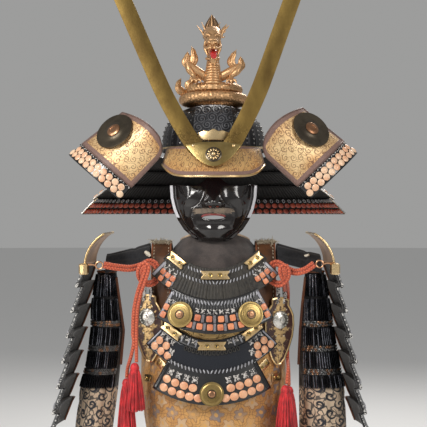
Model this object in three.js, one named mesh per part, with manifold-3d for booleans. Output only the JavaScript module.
// A suit of samurai armour, as it stands when worn: crested helmet, face mask, throat collar,
// gorget, bib, cuirass with hanging skirt, shoulder guards, armoured sleeves, and the
// doubled cords with tassels that tie the shoulder guards back to the chest.
//
// Millimetres, +Z up. The wearer faces -Y and has the left hand on +X, and "left" and "right"
// in the names are the wearer's. The origin is midway between the two shoulder straps, at the
// height of their undersides, where the shoulders carry the suit.

import * as THREE from 'three';
import { mergeVertices } from 'three/addons/utils/BufferGeometryUtils.js';
import Module from 'manifold-3d';

const wasm = await Module();
wasm.setup();

// ---------------------------------------------------------------------------------------------
// Driving dimensions
// ---------------------------------------------------------------------------------------------

const GAP = 0.3; // between pieces that touch
const SIDES = { right: -1, left: 1 };

// Helmet bowl: a superellipse of revolution, squashed to the head's oval.
const bowl = {
  halfWidth: 112,
  halfDepth: 128,
  centreY: 10,
  baseZ: 199,
  height: 104,
  up: 3,
  across: 2.2,
  wall: 2.5,
  crownTurn: 81, // degrees of the meridian, up to the vent hole
};

const visor = {
  halfWidth: 110,
  reach: 120,
  centreY: -55,
  rimZ: 142,
  cornerRise: 28,
  wall: 2.2,
  rootTurn: 62, // degrees, half the root's spread on the bowl
  rimTurn: 84,
  swell: 20,
  forward: 0.72, // how the swell and wall divide between forward and upward
  upward: 0.7,
};

// Front crest: a socket plate and two long blades that lean back and roll a little.
const crest = {
  lean: 25, // degrees from vertical
  footY: -172,
  footZ: 162,
  bladeLean: 14,
  bladeWidth: 36,
  bladeRootY: -149.5,
  bladeRootZ: 190,
  roll: 1.8,
};
const bladeLine = [
  { z: 202, x: 35 },
  { z: 218, x: 45.6 },
  { z: 260, x: 69.5 },
  { z: 302, x: 91 },
  { z: 340, x: 108 },
  { z: 580, x: 203 },
];

// Turnbacks: the top lames' front ends, bent back. Corners give width and height; the bend
// about the diagonal gives the depth.
const turnback = {
  swell: 16,
  side: 107, // along the outer-to-top edge
  bendRadius: 118,
  fromTurn: 68,
  toTurn: -16.5,
  axisY: 20,
  wall: 2.4,
  lame: 37,
};
const turnbackBoss = {
  radius: 43,
  lift: 0.9,
  right: { a: 0.56, turn: 42.5 },
  left: { a: 0.54, turn: 41 },
};
const turnbackCorners = {
  right: { outer: [-283.5, 216.5], top: [-197, 284], inner: [-100, 199.5], low: [-173.5, 122] },
  left: { outer: [281, 222], top: [192.5, 294], inner: [96, 199.5], low: [177.5, 124] },
};

// Neck guard: the outline that the four lames follow, then the lames themselves.
const guardLine = [
  { z: 200, halfWidth: 119, halfDepth: 134 },
  { z: 165, halfWidth: 186, halfDepth: 163 },
  { z: 140, halfWidth: 219, halfDepth: 177 },
  { z: 118, halfWidth: 244, halfDepth: 187 },
  { z: 95, halfWidth: 267, halfDepth: 197 },
  { z: 66, halfWidth: 288, halfDepth: 207 },
];
const guardLames = [
  { top: 196, bottom: 161, topTurn: 67, bottomTurn: 60 },
  { top: 166, bottom: 128, topTurn: 61, bottomTurn: 60 },
  { top: 134, bottom: 97, topTurn: 76, bottomTurn: 80 },
  { top: 103, bottom: 66, topTurn: 80, bottomTurn: 84 },
];

// Half mask: its own sizes, then its level sections by half width, front and side edges.
const mask = {
  wall: 2.4,
  cheekHalf: 84,
  cheekZ: 124,
  underChinZ: 4,
  topZ: 128,
  noseRise: 22,
  noseReach: 20,
  chinZ: 8,
  mouthZ: 57, // a third of the way from under the nose to the chin
  mouthHalf: 24,
  mouthHeight: 12,
};
// Below the cheeks the half width is a plain oval that would close just under the chin.
const maskHalfWidth = (z) =>
  mask.cheekHalf * Math.sqrt(1 - ((mask.cheekZ - z) / (mask.cheekZ - mask.underChinZ)) ** 2);
const maskLine = [
  { z: 150, halfWidth: 80, front: -104, edge: -52 },
  { z: mask.cheekZ, halfWidth: mask.cheekHalf, front: -108, edge: -56 },
  { z: 100, halfWidth: maskHalfWidth(100), front: -109, edge: -58 },
  { z: 75, halfWidth: maskHalfWidth(75), front: -109, edge: -60 },
  { z: 52, halfWidth: maskHalfWidth(52), front: -110, edge: -62 },
  { z: 32, halfWidth: maskHalfWidth(32), front: -109, edge: -72 },
  { z: 14, halfWidth: maskHalfWidth(14), front: -103, edge: -79 },
  { z: mask.chinZ, halfWidth: maskHalfWidth(mask.chinZ), front: -97, edge: -82 },
];

const collarShift = 3.5; // the collar sits a little toward the left shoulder
const collarLine = [
  { z: 32, halfWidth: 62, front: 64, back: 66 },
  { z: 14, halfWidth: 69, front: 76, back: 74 },
  { z: -9, halfWidth: 90, front: 95, back: 90 },
  { z: -24, halfWidth: 96, front: 107, back: 96 },
  { z: -58, halfWidth: 100, front: 121, back: 104 },
];

// Aprons hang from an arc: every ring of them is a sector about a centre above the chest.
const gorget = { centreX: 3.5, centreZ: 70, depth: 128, depthZ: -50, slope: 0.165, curve: 260 };
const bib = { centreX: -3.5, centreZ: -70, depth: 122, depthZ: -200, slope: 0.13, curve: 220 };
const apronRings = {
  gorget_plate: { on: gorget, inner: 119, outer: 148, span: 48, lift: 0 },
  gorget_lame_upper: { on: gorget, inner: 146, outer: 188, span: 46, lift: 3 },
  gorget_lame_lower: { on: gorget, inner: 182, outer: 253, span: 29, lift: 6.5 },
  bib_plate: { on: bib, inner: 129, outer: 151, span: 46, lift: 0 },
  bib_lame_upper: { on: bib, inner: 150.5, outer: 198, span: 45, lift: 3 },
  bib_lame_lower: { on: bib, inner: 190, outer: 262, span: 28.5, lift: 6.5 },
};
const apronWall = 2.5;
const bars = [
  { name: 'gorget_bar_right', ring: 'gorget_plate', turn: -38, radius: 130, length: 43, lift: 1.5 },
  { name: 'gorget_bar_centre', ring: 'gorget_plate', turn: 0, radius: 133, length: 60, lift: 2.2 },
  { name: 'gorget_bar_left', ring: 'gorget_plate', turn: 38, radius: 130, length: 43, lift: 1.5 },
  { name: 'bib_bar_right', ring: 'bib_plate', turn: -37, radius: 139, length: 50, lift: 2 },
  { name: 'bib_bar_centre', ring: 'bib_plate', turn: 0, radius: 141, length: 60, lift: 2.6 },
  { name: 'bib_bar_left', ring: 'bib_plate', turn: 37, radius: 139, length: 50, lift: 2 },
];
const bar = { width: 17.5, thick: 2.4, notch: 5 };
const discs = [
  { name: 'gorget_disc_right', ring: 'gorget_lame_lower', turn: -18.6, radius: 226, size: 27 },
  { name: 'gorget_disc_left', ring: 'gorget_lame_lower', turn: 18.8, radius: 226, size: 27 },
  { name: 'bib_disc', ring: 'bib_lame_lower', turn: 0, radius: 239, size: 25.5 },
];

// Cuirass: level ovals of the chest and back, and the height of its top edge all round,
// by the turn from the middle of the front or of the back.
const torso = [
  { z: -20, halfWidth: 148, front: 108, back: 108 },
  { z: -112, halfWidth: 148, front: 108, back: 114 },
  { z: -200, halfWidth: 156, front: 117, back: 117 },
  { z: -300, halfWidth: 158, front: 122, back: 113 },
  { z: -370, halfWidth: 151, front: 118, back: 105 },
  { z: -440, halfWidth: 139, front: 110, back: 98 },
];
const cuirass = { waistZ: -440, wall: 3, seamTurn: 89.9 };
const frontTop = [
  { turn: 0, z: -118 },
  { turn: 40, z: -112 },
  { turn: 62, z: -110 },
  { turn: 71, z: -178 },
  { turn: 80, z: -204 },
  { turn: 90, z: -208 },
];
const backTop = [
  { turn: 0, z: -38 },
  { turn: 36, z: -34 },
  { turn: 60, z: -40 },
  { turn: 68, z: -120 },
  { turn: 78, z: -190 },
  { turn: 90, z: -208 },
];
const chestPlate = { halfWidth: 86, topZ: -119, lowZ: -200, sideRise: 26, lobes: 6, lobe: 3, wall: 1.8 };

// Shoulder strap: its underside from the chest over the shoulder to the back.
const strap = { inner: 90, outer: 134, thick: 5, oval: 150 };
const strapLine = [
  { run: 0, y: -77.5, z: -136 },
  { run: 24, y: -76.5, z: -112 },
  { run: 66, y: -72, z: -70 },
  { run: 108, y: -56, z: -30 },
  { run: 143, y: -30, z: -6 },
  { run: 174, y: 0, z: 0 },
  { run: 204, y: 30, z: -4 },
  { run: 234, y: 56, z: -18 },
  { run: 266, y: 81, z: -38 },
  { run: 302, y: 86, z: -72 },
];

// Gourd-shaped plates that guard the strap ties: half width down from the neck.
const gourd = { y: -70, topZ: -115, yaw: 28, roll: 2.5, bulge: 3, wall: 2.4, bossZ: -157, bossRadius: 18.5 };
const gourdPlaces = { right: { x: -140, liftZ: 3 }, left: { x: 141.5, liftZ: -3 } };
const gourdLine = [
  { down: 0, halfWidth: 20 },
  { down: 11, halfWidth: 19.5 },
  { down: 20, halfWidth: 26 },
  { down: 32, halfWidth: 32 },
  { down: 52, halfWidth: 34 },
  { down: 76, halfWidth: 32 },
  { down: 102, halfWidth: 24 },
  { down: 124, halfWidth: 15 },
  { down: 136, halfWidth: 5 },
];

// Skirt: five hanging panels, spaced all round the waist, flaring to the hem.
const skirt = {
  topZ: -434,
  hemZ: -720,
  halfWidth: 144,
  front: 115,
  back: 103,
  lames: 5,
  panels: 5,
  spread: 66,
  flare: 62,
  wall: 3,
};

// Shoulder guards: seven lames hung like shingles, in a plane fore and aft.
const guard = { frontY: -130, rearY: 145, topZ: -46, lames: 7, pitch: 53, firstLame: 41, bulge: 12, wall: 3 };
const guardPlaces = { right: -270, left: 253 };
const guardSlope = 0.186; // outward, for each millimetre down
const cap = { radius: 80, turn: 60, wall: 2.2, frontY: -133 };
const ringPlaces = { right: [-238, -42], left: [221, -39] };
const ring = { radius: 7.5, wire: 1.6, y: -136 };

// Sleeves: level ovals from the shoulder to the wrist.
const sleeveLines = {
  right: [
    { z: -58, x: -232, y: 0, halfWidth: 20, halfDepth: 32 },
    { z: -130, x: -233, y: 0, halfWidth: 31, halfDepth: 42 },
    { z: -188, x: -230, y: 0, halfWidth: 35, halfDepth: 45 },
    { z: -255, x: -238, y: -1, halfWidth: 36, halfDepth: 46 },
    { z: -320, x: -250, y: -3, halfWidth: 42, halfDepth: 48 },
    { z: -399, x: -260, y: -8, halfWidth: 41, halfDepth: 46 },
    { z: -500, x: -258, y: -18, halfWidth: 36, halfDepth: 40 },
    { z: -600, x: -252, y: -32, halfWidth: 33, halfDepth: 36 },
  ],
  left: [
    { z: -58, x: 220, y: 0, halfWidth: 20, halfDepth: 32 },
    { z: -130, x: 222, y: 0, halfWidth: 30, halfDepth: 42 },
    { z: -188, x: 224, y: 0, halfWidth: 36, halfDepth: 45 },
    { z: -255, x: 229, y: -1, halfWidth: 43, halfDepth: 47 },
    { z: -320, x: 236, y: -3, halfWidth: 50, halfDepth: 50 },
    { z: -399, x: 238, y: -8, halfWidth: 52, halfDepth: 50 },
    { z: -500, x: 240, y: -18, halfWidth: 42, halfDepth: 42 },
    { z: -600, x: 238, y: -32, halfWidth: 35, halfDepth: 36 },
  ],
};
const sleeveWall = 2.5;

const shoulderCloth = { inner: 138, outer: 232, innerZ: 2, outerZ: -22, radius: 62, turn: 68, wall: 3 };

// Cords: the middle of each doubled cord, from its ring to its tassels.
const strand = 7.6;
const cordLines = {
  right: [
    [-228.5, -136, -41],
    [-204, -126, -46],
    [-174, -112, -49],
    [-150, -103, -43],
    [-134, -96, -36],
    [-121, -93, -44],
    [-116, -93, -60],
    [-122, -96, -76],
    [-136, -104, -82],
    [-149, -113, -75],
    [-155, -122, -59],
    [-149, -128, -43],
    [-139, -130, -42],
    [-141, -128, -58],
    [-148, -124, -78],
    [-157, -116, -105],
    [-164, -108, -140],
    [-166, -104, -190],
    [-166, -104, -247],
  ],
  left: [
    [209.5, -136, -39],
    [192, -124, -52],
    [172, -110, -57],
    [152, -100, -50],
    [136, -95, -39],
    [122, -93, -44],
    [117, -93, -60],
    [123, -95, -76],
    [138, -101, -83],
    [150, -109, -75],
    [155, -117, -60],
    [151, -121, -46],
    [143, -121, -47],
    [144, -117, -61],
    [150, -106, -76],
    [154, -80, -91],
    [156, -54, -106],
    [156, -47, -130],
    [156, -46, -190],
    [155, -50, -240],
    [154, -88, -264],
    [151, -106, -284],
    [151, -110, -292],
  ],
};
const tassels = {
  right: [
    { at: [-166, -104, -248], length: 103, radius: 24 },
    { at: [-184, -84, -283], length: 122, radius: 23 },
  ],
  left: [
    { at: [151, -111, -294], length: 133, radius: 27 },
    { at: [160, -80, -300], length: 128, radius: 24 },
  ],
};

// Dragon crest: two coils that lie on the bowl, then the upright neck and head.
const dragon = {
  lowerRing: { radius: 63, tube: 12.5, at: [0, -4, 317.5], tilt: 4 },
  upperRing: { radius: 50, tube: 11.5, at: [1, -6, 336], tilt: 4 },
};

// ---------------------------------------------------------------------------------------------
// Finishes
// ---------------------------------------------------------------------------------------------

const finish = (color, roughness, metalness) => new THREE.MeshStandardMaterial({ color, roughness, metalness });
const finishes = {
  blackLacquer: finish(0x0c0c0e, 0.22, 0.1),
  blackIron: finish(0x1c1c20, 0.4, 0.5),
  agedBrass: finish(0x8f7434, 0.42, 0.9),
  paleBrass: finish(0xd8c48a, 0.3, 0.9),
  copperGold: finish(0xb98457, 0.38, 0.85),
  bronze: finish(0x5c4d3a, 0.4, 0.8),
  silver: finish(0xc9c5b8, 0.28, 0.9),
  printedLeather: finish(0xd2b070, 0.5, 0.1),
  suede: finish(0x54463f, 0.92, 0),
  brownLeather: finish(0x6b3f22, 0.7, 0),
  lacing: finish(0x2b2b2a, 0.85, 0),
  brocade: finish(0xb98750, 0.75, 0.1),
  sleeveCloth: finish(0xb9a380, 0.85, 0),
  darkCloth: finish(0x121214, 0.9, 0),
  redSilk: finish(0xb81f22, 0.75, 0),
  orangeSilk: finish(0xc4492c, 0.7, 0),
};

// ---------------------------------------------------------------------------------------------
// Helpers
// ---------------------------------------------------------------------------------------------

const rad = THREE.MathUtils.degToRad;
const mix = THREE.MathUtils.lerp;
const { sin, cos, asin, pow, abs, sqrt, PI } = Math;

/** The named column of a short table, between its rows, at a place along its key column. */
function along(table, key, column, place) {
  const rising = table[0][key] < table[table.length - 1][key];
  const before = (row) => (rising ? row[key] <= place : row[key] >= place);
  const last = table.length - 2;
  const index = Math.min(last, Math.max(0, table.findLastIndex(before)));
  const [low, high] = [table[index], table[index + 1]];
  const share = THREE.MathUtils.clamp((place - low[key]) / (high[key] - low[key]), 0, 1);
  return mix(low[column], high[column], share);
}

/** A closed mesh from its corner points and triangles, with its faces turned outward. */
function solid(points, faces) {
  const volume = faces.reduce((sum, [a, b, c]) => {
    const [p, q, r] = [a, b, c].map((corner) => new THREE.Vector3(...points[corner]));
    return sum + p.dot(q.cross(r));
  }, 0);
  const index = volume > 0 ? faces.flat() : faces.flatMap(([a, b, c]) => [a, c, b]);
  const geometry = new THREE.BufferGeometry();
  geometry.setAttribute('position', new THREE.Float32BufferAttribute(points.flat(), 3));
  geometry.setIndex(index);
  geometry.computeVertexNormals();
  return geometry;
}

/**
 * A wall between two sheets, each a function of (u, v) from 0 to 1, stitched at its edges.
 * A wrapped sheet closes on itself along u, as a tube does.
 */
function wallBetween(outer, inner, uSteps, vSteps, wrapped = false) {
  const columns = wrapped ? uSteps : uSteps + 1;
  const rows = vSteps + 1;
  const points = [];
  for (const sheet of [outer, inner]) {
    for (let row = 0; row < rows; row += 1) {
      for (let column = 0; column < columns; column += 1) {
        points.push(sheet(column / uSteps, row / vSteps));
      }
    }
  }
  const outside = (column, row) => row * columns + (column % columns);
  const inside = (column, row) => rows * columns + outside(column, row);
  const faces = [];
  const quad = (a, b, c, d) => faces.push([a, b, c], [a, c, d]);
  for (let column = 0; column < uSteps; column += 1) {
    const next = column + 1;
    for (let row = 0; row < vSteps; row += 1) {
      quad(outside(column, row), outside(next, row), outside(next, row + 1), outside(column, row + 1));
      quad(inside(column, row), inside(column, row + 1), inside(next, row + 1), inside(next, row));
    }
    quad(outside(column, 0), inside(column, 0), inside(next, 0), outside(next, 0));
    quad(outside(next, vSteps), inside(next, vSteps), inside(column, vSteps), outside(column, vSteps));
  }
  if (!wrapped) {
    for (let row = 0; row < vSteps; row += 1) {
      quad(outside(0, row), outside(0, row + 1), inside(0, row + 1), inside(0, row));
      quad(inside(uSteps, row), inside(uSteps, row + 1), outside(uSteps, row + 1), outside(uSteps, row));
    }
  }
  return solid(points, faces);
}

/** The sheet moved along its own normals; a positive distance follows the u-v cross product. */
function moved(sheet, distance) {
  const step = 0.002;
  return (u, v) => {
    const lowV = Math.max(0, v - step);
    const highV = Math.min(1, v + step);
    const acrossU = new THREE.Vector3(...sheet(u + step, v)).sub(new THREE.Vector3(...sheet(u - step, v)));
    const acrossV = new THREE.Vector3(...sheet(u, highV)).sub(new THREE.Vector3(...sheet(u, lowV)));
    const normal = acrossU.cross(acrossV).normalize();
    return new THREE.Vector3(...sheet(u, v)).addScaledVector(normal, distance).toArray();
  };
}

/** A closed limb through a run of points, with a radius at each and a flattening in depth. */
function limb(points, radii, sides = 8, flat = 1) {
  const path = points.map((point) => new THREE.Vector3(...point));
  const corners = [];
  path.forEach((point, i) => {
    const before = path[Math.max(0, i - 1)];
    const after = path[Math.min(path.length - 1, i + 1)];
    const run = after.clone().sub(before).normalize();
    const guide = abs(run.y) > 0.8 ? new THREE.Vector3(0, 0, 1) : new THREE.Vector3(0, 1, 0);
    const across = guide.clone().cross(run).normalize();
    const depth = run.clone().cross(across).normalize();
    for (let side = 0; side < sides; side += 1) {
      const turn = (2 * PI * side) / sides;
      const corner = point.clone().addScaledVector(across, radii[i] * cos(turn));
      corners.push(corner.addScaledVector(depth, radii[i] * sin(turn) * flat).toArray());
    }
  });
  const faces = [];
  for (let i = 0; i < path.length - 1; i += 1) {
    for (let side = 0; side < sides; side += 1) {
      const next = (side + 1) % sides;
      const [a, b] = [i * sides + side, i * sides + next];
      faces.push([a, b, b + sides], [a, b + sides, a + sides]);
    }
  }
  const end = (path.length - 1) * sides;
  for (let side = 1; side < sides - 1; side += 1) {
    faces.push([0, side + 1, side], [end, end + side, end + side + 1]);
  }
  return solid(corners, faces);
}

/** A turned piece, from [radius, height] points that start and end on the axis, along +Z. */
function turned(profile, segments = 16) {
  const outline = profile.map(([radius, height]) => new THREE.Vector2(radius, height));
  return new THREE.LatheGeometry(outline, segments).rotateX(PI / 2);
}

const torus = (radius, tube, tubeSides, segments) => new THREE.TorusGeometry(radius, tube, tubeSides, segments);

function toManifold(geometry) {
  const bare = geometry.clone();
  ['normal', 'uv'].forEach((name) => bare.deleteAttribute(name));
  const merged = mergeVertices(bare, 1e-4);
  return new wasm.Manifold(
    new wasm.Mesh({
      numProp: 3,
      vertProperties: new Float32Array(merged.attributes.position.array),
      triVerts: new Uint32Array(merged.index.array),
    }),
  );
}

function fromManifold(body) {
  const mesh = body.getMesh();
  const geometry = new THREE.BufferGeometry();
  geometry.setAttribute('position', new THREE.BufferAttribute(mesh.vertProperties, 3));
  geometry.setIndex(new THREE.BufferAttribute(mesh.triVerts, 1));
  geometry.computeVertexNormals();
  return geometry;
}

/** Joins overlapping closed geometries into one. */
const joined = (...geometries) => fromManifold(geometries.map(toManifold).reduce((sum, next) => sum.add(next)));

/** The first geometry less the second. */
const cutAway = (geometry, tool) => fromManifold(toManifold(geometry).subtract(toManifold(tool)));

const armour = new THREE.Group();

function add(name, geometry, material) {
  const mesh = new THREE.Mesh(geometry, material);
  mesh.name = name;
  armour.add(mesh);
  return mesh;
}

/** Seats a mesh on a sheet of (turn, radius), its x along the ring and its z out of the sheet. */
function seat(mesh, sheet, turn, radius, lift) {
  const at = new THREE.Vector3(...sheet(turn, radius));
  const alongRing = new THREE.Vector3(...sheet(turn + 0.5, radius));
  alongRing.sub(new THREE.Vector3(...sheet(turn - 0.5, radius))).normalize();
  const inward = new THREE.Vector3(...sheet(turn, radius - 1)).sub(at).normalize();
  const outOf = alongRing.clone().cross(inward).normalize();
  if (outOf.y > 0) {
    alongRing.negate();
    outOf.negate();
  }
  const upward = outOf.clone().cross(alongRing).normalize();
  mesh.setRotationFromMatrix(new THREE.Matrix4().makeBasis(alongRing, upward, outOf));
  mesh.position.copy(at.addScaledVector(outOf, lift));
}

// ---------------------------------------------------------------------------------------------
// Helmet
// ---------------------------------------------------------------------------------------------

/** A point on the bowl: turn from the front, climb in degrees up the meridian, and how far out. */
function onBowl(turn, climb, out) {
  const reach = pow(cos(rad(climb)), 2 / bowl.across);
  const share = pow(sin(rad(climb)), 2 / bowl.up);
  const level = out * sqrt(1 - pow(share, 4));
  return [
    (bowl.halfWidth * reach + level) * sin(turn),
    bowl.centreY - (bowl.halfDepth * reach + level) * cos(turn),
    bowl.baseZ + bowl.height * share + out * share * share,
  ];
}

/** The climb that brings the bowl to a height. */
const climbTo = (z) => (asin(pow((z - bowl.baseZ) / bowl.height, bowl.up / 2)) * 180) / PI;

function bowlSheet(out) {
  return (u, v) => onBowl(2 * PI * u, v * bowl.crownTurn, out);
}
add('helmet_bowl', wallBetween(bowlSheet(0), bowlSheet(-bowl.wall), 26, 6, true), finishes.blackIron);

/** A plate on the bowl's front: x from -1 to 1 of its half width, v from its foot to its top. */
function browSheet(halfWidth, footZ, topZ, out) {
  return (u, v) => {
    const climb = climbTo(mix(footZ, topZ(2 * u - 1), v));
    const reach = bowl.halfWidth * pow(cos(rad(climb)), 2 / bowl.across);
    return onBowl(asin(((2 * u - 1) * halfWidth(v)) / reach), climb, out);
  };
}
const panelWidth = (v) => mix(42, 36, v);
const panelTop = () => 295;
const panel = [3.7, 2.1].map((out) => browSheet(panelWidth, 235, panelTop, out));
add('helmet_front_panel', wallBetween(...panel, 8, 4), finishes.blackIron);

const cuspWidth = () => 30;
const cuspTop = (x) => 235.5 + 5 * cos(x * PI * 0.5) * (1 + 0.4 * cos(x * 3 * PI));
const cusp = [6.6, 4.8].map((out) => browSheet(cuspWidth, 219, cuspTop, out));
add('helmet_cusped_plate', wallBetween(...cusp, 12, 1), finishes.paleBrass);

/** The visor, from its root on the bowl's brow to its rim. */
function visorSheet(out) {
  return (u, v) => {
    const share = 2 * u - 1;
    const root = onBowl(rad(visor.rootTurn * share), 0.5, 0.8);
    const turn = rad(visor.rimTurn * share);
    const rim = [
      visor.halfWidth * sin(turn),
      visor.centreY - visor.reach * cos(turn),
      visor.rimZ + visor.cornerRise * pow(sin(turn), 6),
    ];
    const swell = visor.swell * v * (1 - v) + out;
    return [
      mix(root[0], rim[0], v),
      mix(root[1], rim[1], v) - swell * visor.forward,
      mix(root[2] + 3, rim[2], v) + swell * visor.upward,
    ];
  };
}
add('visor', wallBetween(visorSheet(visor.wall), visorSheet(0), 14, 3), finishes.printedLeather);

// Crest socket plate, with its boss: a shield outline in a plane that leans back.
const socket = new THREE.Shape();
const socketHalf = 58;
const socketEdge = (x) => 50 * pow(abs(x) / socketHalf, 1.9);
for (let i = -8; i <= 8; i += 1) {
  const x = (i / 8) * socketHalf;
  if (i === -8) {
    socket.moveTo(x, socketEdge(x));
  } else {
    socket.lineTo(x, socketEdge(x));
  }
}
socket.lineTo(22, 57);
socket.lineTo(-22, 57);
const socketPlate = new THREE.ExtrudeGeometry(socket, { depth: 3, bevelEnabled: false });
const bossProfile = [
  [0, 2],
  [16.5, 2],
  [16.5, 4.5],
  [13, 7],
  [6.5, 7.5],
  [5, 10],
  [0, 11],
];
const socketBoss = turned(bossProfile, 20).translate(0, 27, 0);
const crestBase = add('crest_base', joined(socketPlate, socketBoss), finishes.paleBrass);
crestBase.rotation.set(PI / 2 - rad(crest.lean), 0, 0);
crestBase.position.set(0, crest.footY, crest.footZ);

/** A blade's outline, along its middle line in the blades' own plane. */
function bladeShape(side) {
  const middle = bladeLine.map(({ z, x }) => {
    return new THREE.Vector2(side * x, (z - crest.bladeRootZ) / cos(rad(crest.bladeLean)));
  });
  const edge = (way) =>
    middle.map((point, i) => {
      const run = middle[Math.min(i + 1, middle.length - 1)].clone().sub(middle[Math.max(i - 1, 0)]);
      run.normalize();
      const across = new THREE.Vector2(run.y, -run.x);
      return point.clone().addScaledVector(across, (way * crest.bladeWidth) / 2);
    });
  return new THREE.Shape([...edge(1), ...edge(-1).reverse()]);
}
for (const [name, side] of Object.entries(SIDES)) {
  const geometry = new THREE.ExtrudeGeometry(bladeShape(side), { depth: 2, bevelEnabled: false });
  geometry.rotateZ(rad(crest.roll));
  const blade = add(`crest_blade_${name}`, geometry, finishes.agedBrass);
  blade.rotation.set(PI / 2 - rad(crest.bladeLean), 0, 0);
  blade.position.set(0, crest.bladeRootY, crest.bladeRootZ);
}

// Dragon crest.
function coil({ radius, tube, at, tilt }, tubeSides, segments) {
  return torus(radius, tube, tubeSides, segments).rotateX(-rad(tilt)).translate(...at);
}
const flame = (points, width) => limb(points, [width, width * 1.05, width * 0.6, 0.6], 4, 0.45);
const dragonPieces = [
  coil(dragon.lowerRing, 8, 20),
  coil(dragon.upperRing, 8, 18),
  // neck, from the upper coil up to the throat
  limb(
    [
      [0, -50, 334],
      [0, -49, 352],
      [0, -42, 372],
      [0, -34, 392],
      [0, -30, 412],
      [0, -34, 440],
    ],
    [17, 17, 15.5, 13.5, 13, 13],
    8,
  ),
  // brow and muzzle, then the lower jaw below the open mouth
  limb(
    [
      [0, -14, 448],
      [0, -30, 450],
      [0, -50, 444],
      [0, -66, 432],
      [0, -78, 424],
    ],
    [13, 20, 19, 14, 10],
    8,
    0.78,
  ),
  limb(
    [
      [0, -36, 420],
      [0, -54, 408],
      [0, -66, 402],
    ],
    [12, 10, 6],
    6,
    0.5,
  ),
  // crown fin
  limb(
    [
      [0, -20, 452],
      [0, -16, 470],
      [0, -12, 488],
      [0, -8, 503],
    ],
    [17, 17, 11, 0.8],
    6,
    0.16,
  ),
  // tail flame behind the coils
  flame(
    [
      [-56, -14, 322],
      [-73, -16, 336],
      [-75, -14, 352],
      [-60, -12, 368],
    ],
    9,
  ),
  flame(
    [
      [-44, -22, 334],
      [-50, -22, 350],
      [-47, -20, 362],
      [-50, -18, 370],
    ],
    8,
  ),
];
for (const side of Object.values(SIDES)) {
  dragonPieces.push(
    // horns
    limb(
      [
        [side * 13, -24, 456],
        [side * 21, -18, 468],
        [side * 31, -12, 484],
      ],
      [4, 2.8, 0.8],
      4,
    ),
    limb(
      [
        [side * 20, -19, 466],
        [side * 27, -16, 472],
        [side * 33, -15, 474],
      ],
      [2.4, 1.8, 0.7],
      4,
    ),
    // foreleg: shoulder to elbow, then down to the claws
    limb(
      [
        [side * 12, -40, 356],
        [side * 30, -42, 368],
        [side * 52, -42, 388],
      ],
      [9, 8.5, 7],
      6,
    ),
    limb(
      [
        [side * 53, -42, 391],
        [side * 47, -48, 372],
        [side * 39, -55, 352],
        [side * 36, -62, 342],
      ],
      [7, 7, 6, 7],
      6,
    ),
    limb(
      [
        [side * 38, -54, 351],
        [side * 30, -66, 347],
        [side * 26, -72, 339],
      ],
      [4, 3.4, 1.6],
      4,
    ),
    limb(
      [
        [side * 38, -54, 351],
        [side * 46, -65, 346],
        [side * 49, -71, 339],
      ],
      [4, 3.4, 1.6],
      4,
    ),
    // flame tufts at the elbow
    flame(
      [
        [side * 51, -40, 384],
        [side * 59, -38, 394],
        [side * 59, -36, 406],
        [side * 57, -34, 418],
      ],
      7,
    ),
    flame(
      [
        [side * 46, -40, 384],
        [side * 44, -38, 400],
        [side * 44, -36, 414],
        [side * 48, -34, 428],
      ],
      8,
    ),
  );
}
add('dragon_crest', joined(...dragonPieces), finishes.copperGold);

// Turnbacks, their dotted second lames and their bosses.
const bendSpan = sin(rad(turnback.fromTurn)) - sin(rad(turnback.toTurn));
const bendShare = (turn) => (sin(rad(turnback.fromTurn)) - sin(rad(turn))) / bendSpan;

/** A turnback's sheet: share a along its outer-to-top edge and turn round its bend, in degrees. */
function onTurnback(name, a, turn, back = 0) {
  const { outer, top, inner, low } = turnbackCorners[name];
  const s = bendShare(turn);
  const swell = (turnback.swell * sin(PI * s) * Math.max(0, a)) / turnback.side;
  const place = [0, 1].map((axis) => {
    return mix(mix(outer[axis], top[axis], a), mix(low[axis], inner[axis], a), s) + swell * (top[axis] - outer[axis]);
  });
  return [place[0], turnback.axisY - turnback.bendRadius * cos(rad(turn)) + back, place[1]];
}

/** The leather field, with its corner by the brow rounded off. */
function turnbackSheet(name) {
  const round = 0.24;
  return (u, v) => {
    const a = sin(rad(90 * u));
    const past = Math.max(0, (a - (1 - round)) / round);
    const end = mix(turnback.toTurn, turnback.fromTurn, 0.2 * (1 - sqrt(Math.max(0, 1 - past * past))));
    return onTurnback(name, a, mix(turnback.fromTurn, end, v));
  };
}
const lameShare = turnback.lame / turnback.side;
function turnbackLameSheet(name) {
  return (u, v) => onTurnback(name, mix(-lameShare, -0.006, u), mix(turnback.fromTurn, turnback.toTurn, v), 3);
}
for (const [name, side] of Object.entries(SIDES)) {
  const field = turnbackSheet(name);
  const strip = turnbackLameSheet(name);
  const behind = -side * turnback.wall;
  add(`turnback_${name}`, wallBetween(field, moved(field, behind), 6, 6), finishes.printedLeather);
  add(`turnback_lame_${name}`, wallBetween(strip, moved(strip, behind), 1, 6), finishes.blackLacquer);
}

const discProfile = (radius) => [
  [0, 0],
  [radius * 0.92, 0],
  [radius, 1.8],
  [radius * 0.96, 3.4],
  [radius * 0.4, 4.6],
  [radius * 0.32, 9],
  [0, 10.5],
];
for (const name of Object.keys(SIDES)) {
  const boss = add(`turnback_disc_${name}`, turned(discProfile(turnbackBoss.radius), 16), finishes.bronze);
  const sheet = (turn, along100) => onTurnback(name, along100 / 100, turn);
  const place = turnbackBoss[name];
  seat(boss, sheet, place.turn, 100 * place.a, turnbackBoss.lift);
}

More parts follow.
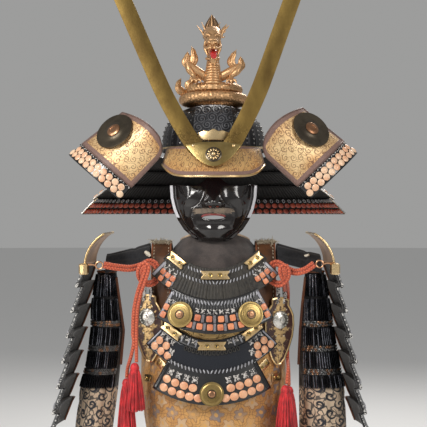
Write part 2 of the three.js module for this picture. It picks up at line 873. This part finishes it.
/** A point on the neck guard's flare: turn from the front in degrees, and height. */
function onGuard(turn, z, out) {
  const width = along(guardLine, 'z', 'halfWidth', z) + out;
  const depth = along(guardLine, 'z', 'halfDepth', z) + out;
  return [width * sin(rad(turn)), bowl.centreY - depth * cos(rad(turn)), z];
}
const guardTuck = 5; // each lame's top lies this far under the one above
guardLames.forEach((lame, index) => {
  const [topWidth, lowWidth] = [lame.top, lame.bottom].map((z) => along(guardLine, 'z', 'halfWidth', z));
  const normal = new THREE.Vector2(lame.top - lame.bottom, lowWidth - topWidth).normalize();
  const sheet = (out) => (u, v) => {
    const start = mix(lame.topTurn, lame.bottomTurn, v);
    const lift = mix(-guardTuck, 0, v) + out;
    const [x, y, z] = onGuard(mix(start, 360 - start, u), mix(lame.top, lame.bottom, v), lift * normal.x);
    return [x, y, z + lift * normal.y];
  };
  add(`neck_guard_lame_${index + 1}`, wallBetween(sheet(0), sheet(-2.4), 20, 1), finishes.blackLacquer);
});

// ---------------------------------------------------------------------------------------------
// Mask and throat
// ---------------------------------------------------------------------------------------------

/** The mask's level sections, with a nose, turned-out cheek flanges and a raised nose bridge. */
function maskSheet(out) {
  return (u, v) => {
    const share = 2 * u - 1;
    const turn = rad(90) * share;
    const topZ = mask.topZ + mask.noseRise * Math.exp(-pow(share / 0.16, 2));
    const z = mix(topZ, mask.chinZ, v);
    const halfWidth = along(maskLine, 'z', 'halfWidth', z);
    const front = along(maskLine, 'z', 'front', z);
    const edge = along(maskLine, 'z', 'edge', z);
    const nose = mask.noseReach * Math.exp(-pow(share / 0.15, 2)) * Math.exp(-pow((z - 94) / 26, 2));
    const flange = Math.max(0, (abs(share) - 0.88) / 0.12) * 9;
    return [
      (halfWidth + out + flange) * sin(turn),
      edge - (edge - front + out) * cos(turn) - nose,
      z,
    ];
  };
}
const maskBody = wallBetween(maskSheet(0), maskSheet(-mask.wall), 18, 9);
const mouth = new THREE.CylinderGeometry(mask.mouthHalf, mask.mouthHalf, 60, 12);
mouth.scale(1, 1, mask.mouthHeight / (2 * mask.mouthHalf)).translate(0, -110, mask.mouthZ);
add('mask', cutAway(maskBody, mouth), finishes.blackLacquer);

function collarSheet(out) {
  return (u, v) => {
    const turn = mix(-112, 112, u);
    const topZ = mix(33, 4, abs(turn) / 112);
    const lowZ = mix(-58, -22, pow(abs(turn) / 112, 1.3));
    const z = mix(topZ, lowZ, v);
    const halfWidth = along(collarLine, 'z', 'halfWidth', z) + out;
    const depth = along(collarLine, 'z', abs(turn) < 90 ? 'front' : 'back', z) + out;
    return [collarShift + halfWidth * sin(rad(turn)), -depth * cos(rad(turn)), z];
  };
}
add('throat_collar', wallBetween(collarSheet(0), collarSheet(-3), 16, 3), finishes.suede);

// ---------------------------------------------------------------------------------------------
// Gorget and bib
// ---------------------------------------------------------------------------------------------

/** A ring's sheet, by turn in degrees from straight down and radius from its centre. */
function ringSheet({ on, lift }, out = 0) {
  return (turn, radius) => {
    const x = radius * sin(rad(turn));
    const z = on.centreZ - radius * cos(rad(turn));
    const depth = on.depth + (on.depthZ - z) * on.slope + lift + out;
    return [on.centreX + x, (x * x) / (2 * on.curve) - depth, z];
  };
}
for (const [name, ringRow] of Object.entries(apronRings)) {
  const { inner, outer, span } = ringRow;
  const faces = [apronWall, 0].map((out) => {
    const sheet = ringSheet(ringRow, out);
    return (u, v) => sheet(mix(-span, span, u), mix(inner, outer, v));
  });
  add(name, wallBetween(...faces, 12, 2), finishes.lacing);
}

/** A flat bar with fishtail ends. */
function barGeometry(length) {
  const [halfLength, halfWidth] = [length / 2, bar.width / 2];
  const outline = new THREE.Shape([
    new THREE.Vector2(-halfLength, -halfWidth),
    new THREE.Vector2(halfLength, -halfWidth),
    new THREE.Vector2(halfLength - bar.notch, 0),
    new THREE.Vector2(halfLength, halfWidth),
    new THREE.Vector2(-halfLength, halfWidth),
    new THREE.Vector2(-halfLength + bar.notch, 0),
  ]);
  return new THREE.ExtrudeGeometry(outline, { depth: bar.thick, bevelEnabled: false });
}
for (const { name, ring: ringName, turn, radius, length, lift } of bars) {
  const mesh = add(name, barGeometry(length), finishes.paleBrass);
  seat(mesh, ringSheet(apronRings[ringName], apronWall), turn, radius, lift);
}
for (const { name, ring: ringName, turn, radius, size } of discs) {
  const mesh = add(name, turned(discProfile(size), 14), finishes.paleBrass);
  seat(mesh, ringSheet(apronRings[ringName], apronWall), turn, radius, 2.2);
}

// ---------------------------------------------------------------------------------------------
// Cuirass, straps, gourd plates and skirt
// ---------------------------------------------------------------------------------------------

/** A point on the trunk: turn in degrees from the front (or the back), height, and how far out. */
function onTorso(face, turn, z, out) {
  const way = face === 'front' ? -1 : 1;
  const halfWidth = along(torso, 'z', 'halfWidth', z) + out;
  const depth = along(torso, 'z', face, z) + out;
  return [halfWidth * sin(rad(turn)), way * depth * cos(rad(turn)), z];
}
for (const [face, top] of [
  ['front', frontTop],
  ['back', backTop],
]) {
  const sheet = (out) => (u, v) => {
    const turn = mix(-cuirass.seamTurn, cuirass.seamTurn, u);
    return onTorso(face, turn, mix(cuirass.waistZ, along(top, 'turn', 'z', abs(turn)), v), out);
  };
  add(`cuirass_${face}`, wallBetween(sheet(0), sheet(-cuirass.wall), 20, 5), finishes.brocade);
}

function chestSheet(out) {
  return (u, v) => {
    const share = 2 * u - 1;
    const lobe = chestPlate.lobe * abs(sin(share * PI * 0.5 * chestPlate.lobes));
    const lowZ = chestPlate.lowZ + chestPlate.sideRise * share * share * 1.4 - lobe;
    const z = mix(lowZ, chestPlate.topZ, v);
    const halfWidth = along(torso, 'z', 'halfWidth', z);
    return onTorso('front', (asin((share * chestPlate.halfWidth) / halfWidth) * 180) / PI, z, out);
  };
}
const chestFaces = [GAP + 0.1 + chestPlate.wall, GAP + 0.1].map(chestSheet);
add('chest_plate', wallBetween(...chestFaces, 18, 2), finishes.agedBrass);

function strapSheet(side) {
  const length = strapLine[strapLine.length - 1].run;
  return (u, v) => {
    const x = mix(strap.inner, strap.outer, u);
    const spread = sqrt(1 - pow(x / strap.oval, 2)) / sqrt(1 - pow(111 / strap.oval, 2));
    const run = v * length;
    return [side * x, along(strapLine, 'run', 'y', run) * spread, along(strapLine, 'run', 'z', run)];
  };
}
for (const [name, side] of Object.entries(SIDES)) {
  const under = strapSheet(side);
  const band = wallBetween(moved(under, side * strap.thick), under, 2, 12);
  add(`shoulder_strap_${name}`, band, finishes.brownLeather);
}

/** The gourd's own sheet, before it is yawed and placed: share across, then down its length. */
function gourdSheet(out) {
  const length = gourdLine[gourdLine.length - 1].down;
  return (u, v) => {
    const share = 2 * u - 1;
    const down = v * length;
    const halfWidth = along(gourdLine, 'down', 'halfWidth', down);
    const arch = 4 * (1 - share * share) * Math.max(0, 1 - v * 8);
    return [share * halfWidth, -gourd.bulge * (1 - share * share) * sin(PI * (0.08 + 0.84 * v)) - out, arch - down];
  };
}
const gourdBoss = [
  [0, 0],
  [gourd.bossRadius, 0],
  [gourd.bossRadius * 0.92, 3],
  [gourd.bossRadius * 0.6, 6.5],
  [gourd.bossRadius * 0.22, 8],
  [0, 8.4],
];
for (const [name, side] of Object.entries(SIDES)) {
  const plate = wallBetween(gourdSheet(gourd.wall), gourdSheet(0), 6, 10);
  const bossGeometry = turned(gourdBoss, 12).rotateX(PI / 2).translate(0, -gourd.bulge, gourd.bossZ - gourd.topZ);
  const ties = [-8, 8].map((x) =>
    limb(
      [
        [x, -1.5, -6],
        [x, -1, 8],
        [x * 0.9, 2, 40],
      ],
      [2.6, 2.6, 2.6],
      5,
    ),
  );
  const mesh = add(`gourd_plate_${name}`, joined(plate, bossGeometry, ...ties), finishes.silver);
  mesh.rotation.set(0, side * rad(gourd.roll), side * rad(gourd.yaw), 'ZYX');
  mesh.position.set(gourdPlaces[name].x, gourd.y, gourd.topZ + gourdPlaces[name].liftZ);
}

/** A skirt panel hangs outside the cuirass's foot and flares, its lames overlapping downward. */
function skirtSheet(middleTurn, out) {
  const rows = 2 * skirt.lames;
  return (u, v) => {
    const row = Math.round(v * (rows - 1));
    const lame = Math.floor(row / 2);
    const share = Math.ceil(row / 2) / skirt.lames;
    const step = row % 2 === 0 ? 0 : 4;
    const z = mix(skirt.topZ, skirt.hemZ, share) - (row % 2 === 0 && lame > 0 ? 0.8 : 0);
    const narrow = 1 - 0.04 * (1 - share);
    const turn = rad(middleTurn + (u - 0.5) * skirt.spread * narrow);
    const reach = skirt.flare * share + step + 2 - out[0];
    const depth = cos(turn) > 0 ? skirt.front : skirt.back;
    return [(skirt.halfWidth + reach) * sin(turn), -(depth + reach) * cos(turn), z + out[1]];
  };
}
for (let panelIndex = 0; panelIndex < skirt.panels; panelIndex += 1) {
  const middleTurn = (360 / skirt.panels) * panelIndex;
  const faces = [
    skirtSheet(middleTurn, [0, 0]),
    skirtSheet(middleTurn, [skirt.wall, 2]),
  ];
  add(`skirt_panel_${panelIndex + 1}`, wallBetween(...faces, 4, 2 * skirt.lames - 1), finishes.blackLacquer);
}

// ---------------------------------------------------------------------------------------------
// Shoulder guards and sleeves
// ---------------------------------------------------------------------------------------------

/** How far out of its plane a shoulder guard swells, at a depth. */
function guardSwell(y) {
  const middle = (guard.frontY + guard.rearY) / 2;
  const half = (guard.rearY - guard.frontY) / 2;
  return guard.bulge * (1 - pow((y - middle) / half, 2));
}
const guardRows = [];
for (let lame = 0; lame < guard.lames; lame += 1) {
  const topZ = lame === 0 ? guard.topZ : guard.topZ - guard.firstLame - (lame - 1) * guard.pitch;
  const lowZ = guard.topZ - guard.firstLame - lame * guard.pitch;
  guardRows.push({ z: topZ - (lame === 0 ? 0 : 1), step: lame === 0 ? 0 : -5 }, { z: lowZ, step: 6 });
}
function guardSheet(name, [inward, upward]) {
  const side = SIDES[name];
  return (u, v) => {
    const row = Math.round(v * (guardRows.length - 1));
    const { z, step } = guardRows[row];
    const y = mix(guard.frontY, guard.rearY, u);
    const reach = abs(guardPlaces[name]) + guardSlope * (guard.topZ - z) + step + guardSwell(y);
    return [side * (reach - inward), y, row === 0 ? z : z + upward];
  };
}

/** The cap over a shoulder guard: an arc of brass from the guard's top, curling inward. */
function capSheet(name, out) {
  const side = SIDES[name];
  return (u, v) => {
    const turn = rad(cap.turn * v);
    const y = mix(cap.frontY, guard.rearY, u);
    const centre = abs(guardPlaces[name]) - cap.radius + guardSwell(y) * (1 - v);
    return [side * (centre + (cap.radius - out) * cos(turn)), y, guard.topZ + GAP + (cap.radius - out) * sin(turn)];
  };
}
for (const [name, side] of Object.entries(SIDES)) {
  const faces = [guardSheet(name, [0, 0]), guardSheet(name, [guard.wall, 2.5])];
  add(`shoulder_guard_${name}`, wallBetween(...faces, 4, guardRows.length - 1), finishes.blackLacquer);

  const [ringX, ringZ] = ringPlaces[name];
  const nutX = guardPlaces[name];
  const nut = new THREE.CylinderGeometry(10.5, 10.5, 12, 8).translate(nutX, -137, guard.topZ - 3);
  const link = limb(
    [
      [nutX, ring.y, ringZ + 1],
      [ringX + side * (ring.radius - 1), ring.y, ringZ],
    ],
    [2.2, 2.2],
    6,
  );
  const eye = torus(ring.radius, ring.wire, 5, 12).rotateX(PI / 2).translate(ringX, ring.y, ringZ);
  const shell = wallBetween(capSheet(name, 0), capSheet(name, cap.wall), 4, 5);
  add(`shoulder_cap_${name}`, joined(shell, nut, link, eye), finishes.paleBrass);

  const sleeve = (out) => (u, v) => {
    const line = sleeveLines[name];
    const z = mix(line[0].z, line[line.length - 1].z, v);
    const [x, y, halfWidth, halfDepth] = ['x', 'y', 'halfWidth', 'halfDepth'].map((column) => {
      return along(line, 'z', column, z);
    });
    return [x + (halfWidth + out) * sin(2 * PI * u), y - (halfDepth + out) * cos(2 * PI * u), z];
  };
  add(`sleeve_${name}`, wallBetween(sleeve(0), sleeve(-sleeveWall), 14, 7, true), finishes.sleeveCloth);

  const cloth = (out) => (u, v) => {
    const turn = rad(mix(-shoulderCloth.turn, shoulderCloth.turn, u));
    const x = mix(shoulderCloth.inner, shoulderCloth.outer, v);
    const ridge = mix(shoulderCloth.innerZ, shoulderCloth.outerZ, v) - shoulderCloth.radius;
    const radius = shoulderCloth.radius - out;
    return [side * x, radius * sin(turn), ridge + radius * cos(turn)];
  };
  add(`shoulder_cloth_${name}`, wallBetween(cloth(0), cloth(shoulderCloth.wall), 8, 2), finishes.darkCloth);
}

// ---------------------------------------------------------------------------------------------
// Cords and tassels
// ---------------------------------------------------------------------------------------------

/** The doubled cord's section: two strands side by side, wide across the view, thin in depth. */
function cordSection() {
  const radius = strand / 2;
  const outline = new THREE.Shape();
  outline.moveTo(radius, -radius);
  outline.absarc(0, radius, radius, 0, PI, false);
  outline.absarc(0, -radius, radius, PI, 2 * PI, false);
  return outline;
}
for (const name of Object.keys(SIDES)) {
  const route = new THREE.CatmullRomCurve3(cordLines[name].map((point) => new THREE.Vector3(...point)));
  const settings = { steps: 34, curveSegments: 2, bevelEnabled: false, extrudePath: route };
  add(`cord_${name}`, new THREE.ExtrudeGeometry(cordSection(), settings), finishes.orangeSilk);

  const skirts = tassels[name].map(({ at, length, radius }) =>
    turned(
      [
        [0, 0],
        [7, -2],
        [10, -10],
        [9, -18],
        [radius * 0.75, -length * 0.42],
        [radius, -length * 0.92],
        [radius * 0.8, -length],
        [0, -length],
      ].reverse(),
      12,
    ).translate(...at),
  );
  add(`tassel_${name}`, joined(...skirts), finishes.redSilk);
}

export default armour;
